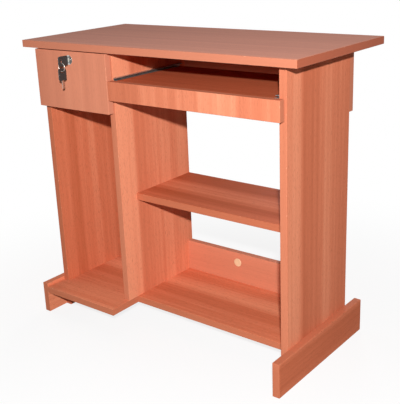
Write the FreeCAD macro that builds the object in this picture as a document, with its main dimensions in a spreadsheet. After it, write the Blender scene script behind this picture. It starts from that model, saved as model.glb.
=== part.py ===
import FreeCAD, Part
import os
from types import SimpleNamespace
import Sketcher

# Study desk of laminated board: drawer over a computer bay, keyboard tray, shelf and sled feet.
# Millimetres, Z up, X along the width, Y towards the back, origin on the floor under the middle.

# Driving dimensions: alias and value, in millimetres.
DIMENSIONS = [
    # Boards of the carcass
    ("top_width", 824), ("top_depth", 386), ("top_front", -174), ("desk_height", 750),
    ("board_thick", 18), ("edge_round", 1.2), ("side_outer", 372), ("panel_front", -149),
    ("panel_depth", 273), ("divider_left", -137), ("foot_front", -212), ("foot_length", 388),
    ("foot_height", 85), ("base_under", 58), ("bay_front", -115), ("shelf_under", 343),
    ("shelf_front", -93), ("rail_height", 86), ("apron_height", 148),
    # Cap in the lower back rail
    ("cap_across", 54), ("cap_up", 134), ("cap_hole_radius", 10), ("cap_plug_radius", 9.95),
    ("cap_rim_radius", 11.5), ("cap_rim_thick", 1.6), ("cap_plug_length", 8),
    # Drawer and tray
    ("front_play", 1), ("drawer_front_width", 250), ("drawer_front_height", 147),
    ("drawer_front_under", 582), ("drawer_side_thick", 12), ("drawer_side_height", 103),
    ("drawer_side_under", 597), ("box_length", 242), ("bottom_thick", 4), ("groove_up", 14),
    ("groove_depth", 6), ("groove_play", 0.2), ("strip_left", -120), ("strip_width", 488),
    ("strip_under", 617), ("strip_height", 47), ("bottom_gap", 1),
    # Roller slides
    ("slide_gap", 13), ("slide_length", 250), ("slide_back", 103), ("steel_thick", 1.2),
    ("channel_height", 24), ("channel_reach", 10), ("arm_back", 90), ("arm_length", 238),
    ("arm_low", 0.6), ("arm_high", 18.2), ("arm_tip", 2.5), ("roller_radius", 7.5),
    ("roller_bore", 2.05), ("roller_width", 6), ("roller_up", 9.1), ("axle_radius", 2),
    ("axle_head_radius", 3), ("axle_head_thick", 0.8), ("front_roller_inset", 2.4),
    ("front_axle_head", 8.8), ("front_roller_place", -138), ("rear_roller_inset", 4.4),
    ("rear_axle_head", 3.3), ("rear_roller_place", 80), ("tray_channel_under", 645.6),
    ("drawer_channel_under", 597.6), ("bend_round", 1), ("roller_round", 0.5),
    # Dowels and screws
    ("dowel_radius", 4), ("dowel_length", 30), ("dowel_play", 0.1), ("dowel_spare", 0.5),
    ("dowel_bevel", 1), ("dowel_in_face", 10), ("dowel_in_top", 8), ("thin_dowel_radius", 3),
    ("thin_dowel_in_side", 8), ("screw_radius", 1.6), ("screw_play", 0.1), ("screw_length", 9),
    ("screw_head_radius", 3), ("screw_head_thick", 0.9), ("long_screw_radius", 2),
    ("long_screw_length", 27), ("long_head_radius", 4), ("long_head_thick", 3),
    ("cross_span", 3.8), ("cross_width", 0.9),
    # Drawer lock
    ("lock_across", -247), ("lock_up", 708), ("case_size", 40), ("case_thick", 14),
    ("case_corner", 3), ("case_round", 1), ("case_screw_inset", 5), ("case_under_lock", 19),
    ("housing_radius", 8), ("housing_reach", 19), ("housing_play", 0.3), ("plug_bore", 5.5),
    ("plug_radius", 5.45), ("plug_length", 23), ("cam_radius", 7), ("cam_thick", 1.5),
    ("cam_place", -145.5), ("pin_offset", 3.536), ("pin_radius", 1.5), ("pin_length", 4.7),
    ("bolt_width", 16), ("bolt_height", 32), ("bolt_thick", 5),
    ("bolt_back", -140.2), ("bolt_under", 698), ("bolt_play", 0.2), ("pin_slot_left", 9.6),
    ("pin_slot_width", 5.3), ("pin_slot_height", 4), ("pin_slot_under", 4.464),
    ("cavity_back", 4), ("cavity_front", 11.3), ("cavity_deep", 31.3), ("mortise_width", 20),
    ("mortise_length", 7.5), ("mortise_depth", 8), ("collar_radius", 12), ("collar_thick", 1.5),
    # Keys
    ("keyway_width", 1.4), ("keyway_height", 7.2), ("keyway_depth", 19), ("blade_thick", 1.2),
    ("blade_height", 6.8), ("blade_start", 18), ("blade_length", 33), ("notch_depth", 1.6),
    ("notch_length", 3), ("notch_gap", 1.5), ("notch_start", 5), ("tip_length", 2),
    ("head_length", 30), ("head_height", 24), ("head_thick", 3), ("head_corner", 5),
    ("head_ease", 0.6), ("eye_start", 6.5), ("eye_length", 5),
    ("eye_height", 12), ("tang_play", 0.05), ("key_start", -203), ("spare_top", 690.7),
    ("ring_radius", 10.25), ("ring_wire", 0.75), ("ring_place", -194), ("ring_up", 693.4),
]

doc = FreeCAD.newDocument("study_desk")
sheet = doc.addObject("Spreadsheet::Sheet", "Sheet")
for row, (alias, value) in enumerate(DIMENSIONS, start=1):
    sheet.set(f"A{row}", alias)
    sheet.set(f"B{row}", str(value))
    sheet.setAlias(f"B{row}", alias)
doc.recompute()


class Dim:
    """A length together with the sheet formula that gives it."""

    def __init__(self, value, formula):
        self.value = value
        self.formula = formula

    def __add__(self, other):
        return joined(self, "+", other)

    def __radd__(self, other):
        return joined(other, "+", self)

    def __sub__(self, other):
        return joined(self, "-", other)

    def __rsub__(self, other):
        return joined(other, "-", self)

    def __mul__(self, other):
        return joined(self, "*", other)

    def __rmul__(self, other):
        return joined(other, "*", self)

    def __truediv__(self, other):
        return joined(self, "/", other)

    def __neg__(self):
        return joined(0, "-", self)


def dim(length):
    """A plain number becomes a constant formula."""
    if isinstance(length, Dim):
        return length
    return Dim(float(length), str(float(length)))


def joined(left, sign, right):
    """Two lengths joined by one arithmetic sign, as a value and as a formula."""
    left = dim(left)
    right = dim(right)
    if sign == "+":
        value = left.value + right.value
    elif sign == "-":
        value = left.value - right.value
    elif sign == "*":
        value = left.value * right.value
    else:
        value = left.value / right.value
    return Dim(value, f"({left.formula} {sign} {right.formula})")


size = SimpleNamespace(**{alias: Dim(sheet.get(alias), f"Sheet.{alias}") for alias, _ in DIMENSIONS})

# Ways a flat outline lies in the desk: level, in the side plane, in the front plane, hanging down.
FLAT = FreeCAD.Rotation()
SIDE = FreeCAD.Rotation(FreeCAD.Vector(1, 1, 1), 120)
FACE = FreeCAD.Rotation(FreeCAD.Vector(1, 0, 0), 90)
HANG = FreeCAD.Rotation(FreeCAD.Vector(0, 1, 0), 90)

# Ways a dowel or a screw points
UPWARDS = FreeCAD.Rotation()
RIGHTWARDS = FreeCAD.Rotation(FreeCAD.Vector(0, 1, 0), 90)
LEFTWARDS = FreeCAD.Rotation(FreeCAD.Vector(0, 1, 0), -90)
BACKWARDS = FreeCAD.Rotation(FreeCAD.Vector(1, 0, 0), -90)
FORWARDS = FreeCAD.Rotation(FreeCAD.Vector(1, 0, 0), 90)

nodes = []


def bind(thing, name, length):
    thing.setExpression(name, dim(length).formula)


def place(thing, lie, corner):
    """Turns and moves a sub-part; the position follows the sheet."""
    x, y, z = (dim(part) for part in corner)
    thing.Placement = FreeCAD.Placement(FreeCAD.Vector(x.value, y.value, z.value), lie)
    bind(thing, "Placement.Base.x", x)
    bind(thing, "Placement.Base.y", y)
    bind(thing, "Placement.Base.z", z)


def pattern_body(label):
    """A body at the origin, which is no sub-part of its own."""
    body = doc.addObject("PartDesign::Body", label)
    body.Label = label
    return body


def new_body(label, lie, corner):
    body = pattern_body(label)
    place(body, lie, corner)
    nodes.append(body)
    return body


def sketch_on(body, name, plane, level):
    """An empty sketch on one of the body's own planes, lifted by level along its normal."""
    support = [part for part in body.Origin.OriginFeatures if part.Role == f"{plane}_Plane"][0]
    sketch = body.newObject("Sketcher::SketchObject", f"{body.Name}_{name}")
    sketch.AttachmentSupport = [(support, "")]
    sketch.MapMode = "FlatFace"
    bind(sketch, "AttachmentOffset.Base.z", level)
    return sketch


def hold(sketch, geometry, point, across, up):
    """Two distances from the sketch's origin fix one point."""
    for kind, axis, length in (("DistanceX", -2, dim(across)), ("DistanceY", -1, dim(up))):
        if length.value == 0:
            sketch.addConstraint(Sketcher.Constraint("PointOnObject", geometry, point, axis))
        else:
            rule = Sketcher.Constraint(kind, -1, 1, geometry, point, length.value)
            index = sketch.addConstraint(rule)
            bind(sketch, f"Constraints[{index}]", length)


def outline(sketch, points):
    """A closed line through the points."""
    corners = [FreeCAD.Vector(dim(u).value, dim(v).value, 0) for u, v in points]
    first = sketch.GeometryCount
    count = len(corners)
    for index in range(count):
        sketch.addGeometry(Part.LineSegment(corners[index], corners[(index + 1) % count]))
    for index in range(count):
        following = first + (index + 1) % count
        sketch.addConstraint(Sketcher.Constraint("Coincident", first + index, 2, following, 1))
    for index, (u, v) in enumerate(points):
        hold(sketch, first + index, 1, u, v)


def circles(sketch, centres, radius):
    for u, v in centres:
        centre = FreeCAD.Vector(dim(u).value, dim(v).value, 0)
        arc = Part.Circle(centre, FreeCAD.Vector(0, 0, 1), dim(radius).value)
        index = sketch.addGeometry(arc)
        rule = sketch.addConstraint(Sketcher.Constraint("Radius", index, dim(radius).value))
        bind(sketch, f"Constraints[{rule}]", radius)
        hold(sketch, index, 3, u, v)


def rectangle(length, width, start=(0, 0)):
    u, v = start
    return [(u, v), (u + length, v), (u + length, v + width), (u, v + width)]


def pad(body, sketch, length, reverse=False):
    feature = body.newObject("PartDesign::Pad", f"{sketch.Name}_pad")
    feature.Profile = sketch
    bind(feature, "Length", length)
    feature.Reversed = reverse
    return feature


def pocket(body, sketch, depth, reverse=False):
    feature = body.newObject("PartDesign::Pocket", f"{sketch.Name}_cut")
    feature.Profile = sketch
    bind(feature, "Length", depth)
    feature.Reversed = reverse
    return feature


def drill(body, name, plane, level, centres, radius, depth, reverse=False):
    """Round holes from one plane; the plain direction is against the plane's normal."""
    sketch = sketch_on(body, name, plane, level)
    circles(sketch, centres, radius)
    pocket(body, sketch, depth, reverse)


def post(body, name, plane, level, centre, radius, length, reverse=False):
    """A round boss from one plane; the plain direction is along the plane's normal."""
    sketch = sketch_on(body, name, plane, level)
    circles(sketch, [centre], radius)
    return pad(body, sketch, length, reverse)


def block(label, lie, corner, points, thick):
    """A sub-part made from one closed outline."""
    body = new_body(label, lie, corner)
    sketch = sketch_on(body, "outline", "XY", 0)
    outline(sketch, points)
    pad(body, sketch, thick)
    return body


def work_edges(body, kind, chosen, measure, length):
    """Works those edges of the latest feature whose middle passes the test."""
    doc.recompute()
    feature = body.Tip
    box = feature.Shape.BoundBox
    names = []
    for number, edge in enumerate(feature.Shape.Edges, start=1):
        if chosen(edge.CenterOfMass, box):
            names.append(f"Edge{number}")
    worked = body.newObject(f"PartDesign::{kind}", f"{body.Name}_{kind}")
    worked.Base = (feature, names)
    bind(worked, measure, length)


def round_edges(body, chosen, radius):
    work_edges(body, "Fillet", chosen, "Radius", radius)


def bevel_edges(body, chosen, length):
    work_edges(body, "Chamfer", chosen, "Size", length)


def near(a, b):
    return abs(a - b) < 0.01


def all_edges(middle, box):
    return True


def low_rim(middle, box):
    return near(middle.z, box.ZMin)


def high_rim(middle, box):
    return near(middle.z, box.ZMax)


def both_rims(middle, box):
    return not near(middle.z, box.Center.z)


def between_rims(middle, box):
    return near(middle.z, box.Center.z)


def front_of_upright(middle, box):
    return near(middle.x, box.XMin) and near(middle.y, box.Center.y)


def front_of_level(middle, box):
    return near(middle.y, box.YMin) and near(middle.x, box.Center.x)


def top_of_face(middle, box):
    return near(middle.y, box.YMax) and near(middle.x, box.Center.x)


def back_of_face(middle, box):
    return near(middle.z, box.ZMin) and not near(middle.y, box.YMax)


def low_side(middle, box):
    return middle.z < box.ZMax - 0.01 and not near(middle.y, box.YMin)


def high_side(middle, box):
    return middle.z > box.ZMin + 0.01 and not near(middle.y, box.YMin)


def dowel(label, radius):
    """The pattern of a dowel: upright, with its lower end at the origin and both ends bevelled."""
    body = pattern_body(label)
    post(body, "stem", "XY", 0, (0, 0), radius, size.dowel_length)
    bevel_edges(body, both_rims, size.dowel_bevel)
    return body


def screw(label, shank, length, head, thick):
    """The pattern of a screw: upright, with its head's seat at the origin and a cross in its head."""
    body = pattern_body(label)
    post(body, "head", "XY", 0, (0, 0), head, thick, True)
    round_edges(body, low_rim, thick / 3)
    post(body, "shank", "XY", 0, (0, 0), shank, length)
    bevel_edges(body, high_rim, shank * 3 / 4)
    for name, u, v in (("slot_across", size.cross_span, size.cross_width),
                       ("slot_along", size.cross_width, size.cross_span)):
        slot = sketch_on(body, name, "XY", -thick)
        outline(slot, rectangle(u, v, (-u / 2, -v / 2)))
        pocket(body, slot, thick * 2 / 3, True)
    return body


def group(label, pattern, places):
    """Equal pieces as separate solids: links to one pattern, each with its direction and its place."""
    links = []
    for number, (way, corner) in enumerate(places, start=1):
        link = doc.addObject("App::Link", f"{label}_{number}")
        link.LinkedObject = pattern
        place(link, way, corner)
        links.append(link)
    pieces = doc.addObject("Part::Compound", label)
    pieces.Label = label
    pieces.Links = links
    nodes.append(pieces)


# Planes that several boards share
thick = size.board_thick
half = thick / 2
top_under = size.desk_height - thick
side_inner = size.side_outer - thick
panel_back = size.panel_front + size.panel_depth
divider_right = size.divider_left + thick
base_top = size.base_under + thick
front_back = size.panel_front - size.front_play
bay_width = side_inner - divider_right
dowel_hole = size.dowel_radius + size.dowel_play
in_face = size.dowel_in_face + size.dowel_spare
in_edge = size.dowel_length - size.dowel_in_face + size.dowel_spare
screw_hole = size.screw_radius + size.screw_play
long_hole = size.long_screw_radius + size.screw_play
screw_deep = size.screw_length + size.dowel_spare

# Places of the joints along Y or Z
UPRIGHT_DOWELS = (-110, 80)
BASE_DOWELS = (-100, 80)
SHELF_DOWELS = (-60, 90)
RAIL_DOWELS = (100, 140)
APRON_SCREWS = (620, 700)
FOOT_SCREWS = (-110, 0, 90)
FOOT_SCREW_UP = 40
FIXED_SCREWS = (-110, 70)
MOVING_SCREWS = (-120, 40)
STRIP_DOWELS = (-60, 40, 200, 300)
BOX_FRONT_DOWELS = (632, 682)
BOX_BACK_DOWELS = (640, 682)
drawer_screw_up = size.drawer_channel_under + size.roller_up
tray_screw_up = size.tray_channel_under + size.roller_up

# Table top: dowel holes and the lock's mortise are in its underside
table_top = block("table_top", FLAT, (-size.top_width / 2, size.top_front, top_under),
                  rectangle(size.top_width, size.top_depth), thick)
round_edges(table_top, all_edges, size.edge_round)
uprights_across = (-size.side_outer + half, size.divider_left + half, size.side_outer - half)
top_places = [(x + size.top_width / 2, y - size.top_front)
              for x in uprights_across for y in UPRIGHT_DOWELS]
top_hole_deep = size.dowel_in_top + size.dowel_spare
drill(table_top, "dowel_holes", "XY", 0, top_places, dowel_hole, top_hole_deep, True)
bolt_mid = size.bolt_back - size.bolt_thick / 2
mortise_start = (size.lock_across + size.top_width / 2 - size.mortise_width / 2,
                 bolt_mid - size.mortise_length / 2 - size.top_front)
mortise = sketch_on(table_top, "mortise", "XY", 0)
outline(mortise, rectangle(size.mortise_width, size.mortise_length, mortise_start))
pocket(table_top, mortise, size.mortise_depth, True)


def upright(label, left, under):
    """A standing board with dowel holes in its top edge and screw holes in its back edge."""
    tall = top_under - under
    body = block(label, SIDE, (left, size.panel_front, under),
                 rectangle(size.panel_depth, tall), thick)
    round_edges(body, front_of_upright, size.edge_round)
    holes = [(y - size.panel_front, half) for y in UPRIGHT_DOWELS]
    deep = size.dowel_length - size.dowel_in_top + size.dowel_spare
    drill(body, "top_holes", "XZ", -tall, holes, dowel_hole, deep, True)
    backs = [(z - under, half) for z in APRON_SCREWS]
    deep = size.long_screw_length - thick + size.long_head_thick + size.dowel_spare
    drill(body, "back_holes", "YZ", size.panel_depth, backs, long_hole, deep)
    return body


def face_holes(body, name, on_left, under, places, radius, deep):
    """Blind holes in an upright's left or right face, at (y, z) places in the desk."""
    holes = [(y - size.panel_front, z - under) for y, z in places]
    level = 0 if on_left else thick
    drill(body, name, "XY", level, holes, radius, deep, on_left)


def foot_fixing(body, on_left):
    """Holes through a side panel for the foot's screws, with room for the heads inside."""
    places = [(y, FOOT_SCREW_UP) for y in FOOT_SCREWS]
    face_holes(body, "foot_holes", on_left, 0, places, long_hole, thick)
    head_room = size.long_head_radius + size.screw_play
    face_holes(body, "foot_heads", on_left, 0, places, head_room, size.long_head_thick)


base_mid = size.base_under + half
shelf_mid = size.shelf_under + half
base_places = [(y, base_mid) for y in BASE_DOWELS]
shelf_places = [(y, shelf_mid) for y in SHELF_DOWELS]
rail_places = [(panel_back - half, z) for z in RAIL_DOWELS]
drawer_slide_places = [(y, drawer_screw_up) for y in FIXED_SCREWS]
tray_slide_places = [(y, tray_screw_up) for y in FIXED_SCREWS]

# Left side panel, divider and right side panel
left_panel = upright("left_side_panel", -size.side_outer, dim(0))
face_holes(left_panel, "base_holes", False, 0, base_places, dowel_hole, in_face)
face_holes(left_panel, "slide_holes", False, 0, drawer_slide_places, screw_hole, screw_deep)
foot_fixing(left_panel, False)

divider = upright("divider_panel", size.divider_left, base_top)
short_deep = half - size.dowel_spare
face_holes(divider, "drawer_holes", True, base_top, drawer_slide_places, screw_hole, short_deep)
face_holes(divider, "tray_holes", False, base_top, tray_slide_places, screw_hole, short_deep)
face_holes(divider, "shelf_holes", False, base_top, shelf_places + rail_places, dowel_hole, in_face)
foot_holes = [(y - size.panel_front, half) for y in UPRIGHT_DOWELS]
drill(divider, "foot_holes", "XZ", 0, foot_holes, dowel_hole, in_edge)

right_panel = upright("right_side_panel", side_inner, dim(0))
right_places = base_places + shelf_places + rail_places
face_holes(right_panel, "board_holes", True, 0, right_places, dowel_hole, in_face)
face_holes(right_panel, "slide_holes", True, 0, tray_slide_places, screw_hole, screw_deep)
foot_fixing(right_panel, True)

# Back apron across all three uprights, screwed on from behind
apron_under = top_under - size.apron_height
apron = block("back_apron", FACE, (-size.side_outer, panel_back + thick, apron_under),
              rectangle(2 * size.side_outer, size.apron_height), thick)
round_edges(apron, back_of_face, size.edge_round)
apron_places = [(x + size.side_outer, z - apron_under) for x in uprights_across for z in APRON_SCREWS]
drill(apron, "screw_holes", "XY", 0, apron_places, long_hole, thick, True)
drill(apron, "screw_heads", "XY", 0, apron_places, size.long_head_radius + size.screw_play,
      size.long_head_thick, True)

# Lower back rail with the round hole that the cap closes
rail = block("lower_back_rail", FACE, (divider_right, panel_back, base_top),
             rectangle(bay_width, size.rail_height), thick)
round_edges(rail, top_of_face, size.edge_round)
cap_place = [(size.cap_across - divider_right, size.cap_up - base_top)]
drill(rail, "cap_hole", "XY", thick, cap_place, size.cap_hole_radius, thick)
rail_ends = [(z - base_top, half) for z in RAIL_DOWELS]
drill(rail, "left_holes", "YZ", 0, rail_ends, dowel_hole, in_edge, True)
drill(rail, "right_holes", "YZ", bay_width, rail_ends, dowel_hole, in_edge)

cap_back = panel_back - thick + size.cap_plug_length
cap = new_body("rail_cap", FACE, (size.cap_across, cap_back, size.cap_up))
post(cap, "plug", "XY", 0, (0, 0), size.cap_plug_radius, size.cap_plug_length)
post(cap, "rim", "XY", size.cap_plug_length, (0, 0), size.cap_rim_radius, size.cap_rim_thick)
round_edges(cap, high_rim, size.cap_rim_thick / 2)

# Middle shelf
shelf_depth = panel_back - size.shelf_front
shelf = block("mid_shelf", FLAT, (divider_right, size.shelf_front, size.shelf_under),
              rectangle(bay_width, shelf_depth), thick)
round_edges(shelf, front_of_level, size.edge_round)
shelf_ends = [(y - size.shelf_front, half) for y in SHELF_DOWELS]
drill(shelf, "left_holes", "YZ", 0, shelf_ends, dowel_hole, in_edge, True)
drill(shelf, "right_holes", "YZ", bay_width, shelf_ends, dowel_hole, in_edge)

# Base board: the computer bay's part comes forward, and a notch clears the left panel
base_depth = panel_back - size.foot_front
bay_end = divider_right + size.side_outer
base_end = side_inner + size.side_outer
base_outline = [(0, 0), (bay_end, 0), (bay_end, size.bay_front - size.foot_front),
                (base_end, size.bay_front - size.foot_front), (base_end, base_depth),
                (thick, base_depth), (thick, size.panel_front - size.foot_front),
                (0, size.panel_front - size.foot_front)]
base = block("base_board", FLAT, (-size.side_outer, size.foot_front, size.base_under),
             base_outline, thick)


def base_front(middle, box):
    """The forward edges of both parts and the step between them."""
    level = near(middle.z, box.ZMin) or near(middle.z, box.ZMax)
    at_front = near(middle.y, box.YMin)
    at_bay = near(middle.y, (size.bay_front - size.foot_front).value)
    at_step = near(middle.x, bay_end.value)
    return level and (at_front or at_bay or at_step)


round_edges(base, base_front, size.edge_round)
base_ends = [(y - size.foot_front, half) for y in BASE_DOWELS]
drill(base, "left_holes", "YZ", thick, base_ends, dowel_hole, in_edge, True)
drill(base, "right_holes", "YZ", base_end, base_ends, dowel_hole, in_edge)
divider_places = [(size.divider_left + half + size.side_outer, y - size.foot_front)
                  for y in UPRIGHT_DOWELS]
drill(base, "divider_holes", "XY", thick, divider_places, dowel_hole, in_face)


def foot(label, left, screws_from_left, rounded):
    """A sled foot on the outside of a side panel."""
    body = block(label, SIDE, (left, size.foot_front, 0),
                 rectangle(size.foot_length, size.foot_height), thick)
    round_edges(body, rounded, size.edge_round)
    holes = [(y - size.foot_front, FOOT_SCREW_UP) for y in FOOT_SCREWS]
    deep = size.long_screw_length - thick + size.long_head_thick + size.dowel_spare
    level = 0 if screws_from_left else thick
    drill(body, "screw_holes", "XY", level, holes, long_hole, deep, screws_from_left)


foot("left_foot", -size.side_outer - thick, False, low_side)
foot("right_foot", size.side_outer, True, high_side)

# Dowels and screws of the carcass
board_dowel = dowel("board_dowel", size.dowel_radius)
long_screw = screw("long_screw", size.long_screw_radius, size.long_screw_length, size.long_head_radius,
                   size.long_head_thick)
face_start = size.dowel_in_face
edge_start = size.dowel_length - size.dowel_in_face
top_dowel_under = top_under + size.dowel_in_top - size.dowel_length
group("top_dowels", board_dowel,
      [(UPWARDS, (x, y, top_dowel_under)) for x in uprights_across for y in UPRIGHT_DOWELS])
group("divider_dowels", board_dowel,
      [(UPWARDS, (size.divider_left + half, y, base_top - face_start)) for y in UPRIGHT_DOWELS])
base_starts = (-side_inner - face_start, side_inner - edge_start)
group("base_dowels", board_dowel,
      [(RIGHTWARDS, (x, y, base_mid)) for x in base_starts for y in BASE_DOWELS])
bay_starts = (divider_right - face_start, side_inner - edge_start)
group("shelf_dowels", board_dowel,
      [(RIGHTWARDS, (x, y, shelf_mid)) for x in bay_starts for y in SHELF_DOWELS])
group("rail_dowels", board_dowel,
      [(RIGHTWARDS, (x, panel_back - half, z)) for x in bay_starts for z in RAIL_DOWELS])
apron_seat = panel_back + thick - size.long_head_thick
group("apron_screws", long_screw,
      [(FORWARDS, (x, apron_seat, z)) for x in uprights_across for z in APRON_SCREWS])
foot_seat = side_inner + size.long_head_thick
foot_seats = ((LEFTWARDS, -foot_seat), (RIGHTWARDS, foot_seat))
group("foot_screws", long_screw,
      [(way, (x, y, FOOT_SCREW_UP)) for way, x in foot_seats for y in FOOT_SCREWS])

# Drawer front with the lock's hole
drawer_front = block("drawer_front", FACE, (-size.side_outer, front_back, size.drawer_front_under),
                     rectangle(size.drawer_front_width, size.drawer_front_height), thick)
round_edges(drawer_front, all_edges, size.edge_round)
lock_place = (size.lock_across + size.side_outer, size.lock_up - size.drawer_front_under)
drill(drawer_front, "lock_hole", "XY", thick, [lock_place],
      size.housing_radius + size.housing_play, thick)
case_left = size.lock_across - size.case_size / 2
case_under = size.lock_up - size.case_under_lock
near_corner = size.case_screw_inset
far_corner = size.case_size - size.case_screw_inset
case_screws = [(near_corner, near_corner), (far_corner, far_corner)]
case_pilots = [(case_left + size.side_outer + u, case_under - size.drawer_front_under + v)
               for u, v in case_screws]
drill(drawer_front, "lock_screw_holes", "XY", 0, case_pilots, screw_hole, screw_deep, True)

# Drawer box between the slides
box_left = -side_inner + size.slide_gap
box_right = size.divider_left - size.slide_gap
box_side = size.drawer_side_thick
box_back = front_back + size.box_length
thin_hole = size.thin_dowel_radius + size.dowel_play
thin_in_end = size.dowel_length - size.thin_dowel_in_side + size.dowel_spare
front_dowel_across = (box_left + box_side / 2, box_right - box_side / 2)
front_dowel_holes = [(x + size.side_outer, z - size.drawer_front_under)
                     for x in front_dowel_across for z in BOX_FRONT_DOWELS]
drill(drawer_front, "dowel_holes", "XY", 0, front_dowel_holes, thin_hole, in_face, True)


def drawer_side(label, left, on_left):
    """A box side with the bottom's groove inside and the slide's screw holes outside."""
    body = block(label, SIDE, (left, front_back, size.drawer_side_under),
                 rectangle(size.box_length, size.drawer_side_height), box_side)
    round_edges(body, top_of_face, size.edge_round)
    inner = box_side if on_left else 0
    outer = 0 if on_left else box_side
    groove = sketch_on(body, "groove", "XY", inner)
    groove_height = size.bottom_thick + 2 * size.groove_play
    outline(groove, rectangle(size.box_length, groove_height, (0, size.groove_up)))
    pocket(body, groove, size.groove_depth, not on_left)
    ends = [(z - size.drawer_side_under, box_side / 2) for z in BOX_FRONT_DOWELS]
    drill(body, "front_holes", "YZ", 0, ends, thin_hole, in_edge, True)
    backs = [(size.box_length - box_side / 2, z - size.drawer_side_under) for z in BOX_BACK_DOWELS]
    drill(body, "back_holes", "XY", inner, backs, thin_hole,
          size.thin_dowel_in_side + size.dowel_spare, not on_left)
    fixings = [(y - front_back, drawer_screw_up - size.drawer_side_under) for y in MOVING_SCREWS]
    drill(body, "slide_holes", "XY", outer, fixings, screw_hole, screw_deep, on_left)


drawer_side("drawer_left_side", box_left, True)
drawer_side("drawer_right_side", box_right - box_side, False)
inside_left = box_left + box_side
inside_width = box_right - box_side - inside_left
back_under = size.drawer_side_under + size.groove_up + size.bottom_thick + size.bottom_gap
back_height = size.drawer_side_under + size.drawer_side_height - back_under
drawer_back = block("drawer_back", FACE, (inside_left, box_back, back_under),
                    rectangle(inside_width, back_height), box_side)
round_edges(drawer_back, top_of_face, size.edge_round)
back_ends = [(z - back_under, box_side / 2) for z in BOX_BACK_DOWELS]
drill(drawer_back, "left_holes", "YZ", 0, back_ends, thin_hole, thin_in_end, True)
drill(drawer_back, "right_holes", "YZ", inside_width, back_ends, thin_hole, thin_in_end)
bottom_left = inside_left - size.groove_depth + size.groove_play
bottom_width = inside_width + 2 * size.groove_depth - 2 * size.groove_play
bottom_under = size.drawer_side_under + size.groove_up + size.groove_play
block("drawer_bottom", FLAT, (bottom_left, front_back, bottom_under),
      rectangle(bottom_width, size.box_length), size.bottom_thick)
thin_dowel = dowel("thin_dowel", size.thin_dowel_radius)
thin_starts = (inside_left - size.thin_dowel_in_side,
               inside_left + inside_width + size.thin_dowel_in_side - size.dowel_length)
group("drawer_front_dowels", thin_dowel,
      [(BACKWARDS, (x, front_back - face_start, z)) for x in front_dowel_across for z in BOX_FRONT_DOWELS])
group("drawer_back_dowels", thin_dowel,
      [(RIGHTWARDS, (x, box_back - box_side / 2, z)) for x in thin_starts for z in BOX_BACK_DOWELS])

# Keyboard tray and its front strip
tray_left = divider_right + size.slide_gap
tray_width = bay_width - 2 * size.slide_gap
tray_under = size.strip_under + size.strip_height - thick
tray = block("keyboard_tray", FLAT, (tray_left, front_back, tray_under),
             rectangle(tray_width, size.box_length), thick)
strip_fixings = [(x - tray_left, half) for x in STRIP_DOWELS]
drill(tray, "strip_holes", "XZ", 0, strip_fixings, dowel_hole, in_edge)
tray_fixings = [(y - front_back, tray_screw_up - tray_under) for y in MOVING_SCREWS]
drill(tray, "left_holes", "YZ", 0, tray_fixings, screw_hole, screw_deep, True)
drill(tray, "right_holes", "YZ", tray_width, tray_fixings, screw_hole, screw_deep)
strip = block("tray_front_strip", FACE, (size.strip_left, front_back, size.strip_under),
              rectangle(size.strip_width, size.strip_height), thick)
round_edges(strip, all_edges, size.edge_round)
strip_holes = [(x - size.strip_left, size.strip_height - half) for x in STRIP_DOWELS]
drill(strip, "dowel_holes", "XY", 0, strip_holes, dowel_hole, in_face, True)
group("strip_dowels", board_dowel,
      [(BACKWARDS, (x, front_back - face_start, tray_under + half)) for x in STRIP_DOWELS])

# Roller slides: the fixed channel carries the front roller, the moving arm the rear roller
steel = size.steel_thick
gap = size.slide_gap
reach = size.channel_reach
tall = size.channel_height
arm_web = gap - steel


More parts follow.
